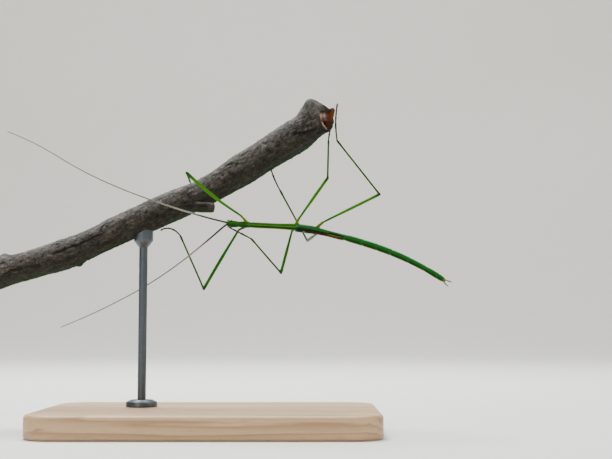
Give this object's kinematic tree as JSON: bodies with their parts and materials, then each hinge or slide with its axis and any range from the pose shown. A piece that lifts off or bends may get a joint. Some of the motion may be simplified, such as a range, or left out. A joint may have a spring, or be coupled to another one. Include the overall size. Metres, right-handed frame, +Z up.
{
  "type": "stick insect model",
  "caption": "Life-size still model of a short-winged green stick insect hanging below a broken branch, on a plain stand with a wooden base and a steel rod.",
  "frame": {"origin": "centre of the underside of the stand's base", "axes": "+Z up; the insect's head points to -X and its tail to +X; its back is turned to -Y and a little down; the branch runs up to +X"},
  "size_m": [0.1664, 0.0742, 0.1181],
  "materials": {
    "skin": "smooth leaf-green cuticle with a soft satin gloss, yellower at the hips and browner at the feet",
    "eye": "glossy black-brown",
    "feeler": "satin olive, paler and brownish towards the tip",
    "clasper": "satin yellow-brown",
    "wing": "veined blue-green to dark green, satin",
    "bark": "rough fissured grey-brown bark with lichen, torn reddish wood at the broken end",
    "stand_wood": "oiled light hardwood, satin",
    "stand_steel": "brushed, satin"
  },
  "bodies": {
    "root": {"head": "skin", "eye_right": "eye", "eye_left": "eye", "antenna_right": "feeler", "antenna_left": "feeler", "prothorax": "skin", "mesothorax": "skin", "metathorax": "skin", "abdomen_segment_1": "skin", "abdomen_segment_2": "skin", "abdomen_segment_3": "skin", "abdomen_segment_4": "skin", "abdomen_segment_5": "skin", "abdomen_segment_6": "skin", "abdomen_segment_7": "skin", "abdomen_segment_8": "skin", "clasper_right": "clasper", "clasper_left": "clasper", "tegmen_right": "wing", "hindwing_right": "wing", "tegmen_left": "wing", "hindwing_left": "wing", "leg_right_front_coxa": "skin", "leg_right_front_femur": "skin", "leg_right_front_tibia": "skin", "leg_right_front_tarsus": "skin", "leg_left_front_coxa": "skin", "leg_left_front_femur": "skin", "leg_left_front_tibia": "skin", "leg_left_front_tarsus": "skin", "leg_right_middle_coxa": "skin", "leg_right_middle_femur": "skin", "leg_right_middle_tibia": "skin", "leg_right_middle_tarsus": "skin", "leg_left_middle_coxa": "skin", "leg_left_middle_femur": "skin", "leg_left_middle_tibia": "skin", "leg_left_middle_tarsus": "skin", "leg_right_hind_coxa": "skin", "leg_right_hind_femur": "skin", "leg_right_hind_tibia": "skin", "leg_right_hind_tarsus": "skin", "leg_left_hind_coxa": "skin", "leg_left_hind_femur": "skin", "leg_left_hind_tibia": "skin", "leg_left_hind_tarsus": "skin", "branch": "bark", "stand_base": "stand_wood", "stand_flange": "stand_steel", "stand_rod": "stand_steel", "stand_saddle": "stand_steel"}
  },
  "joints": []
}
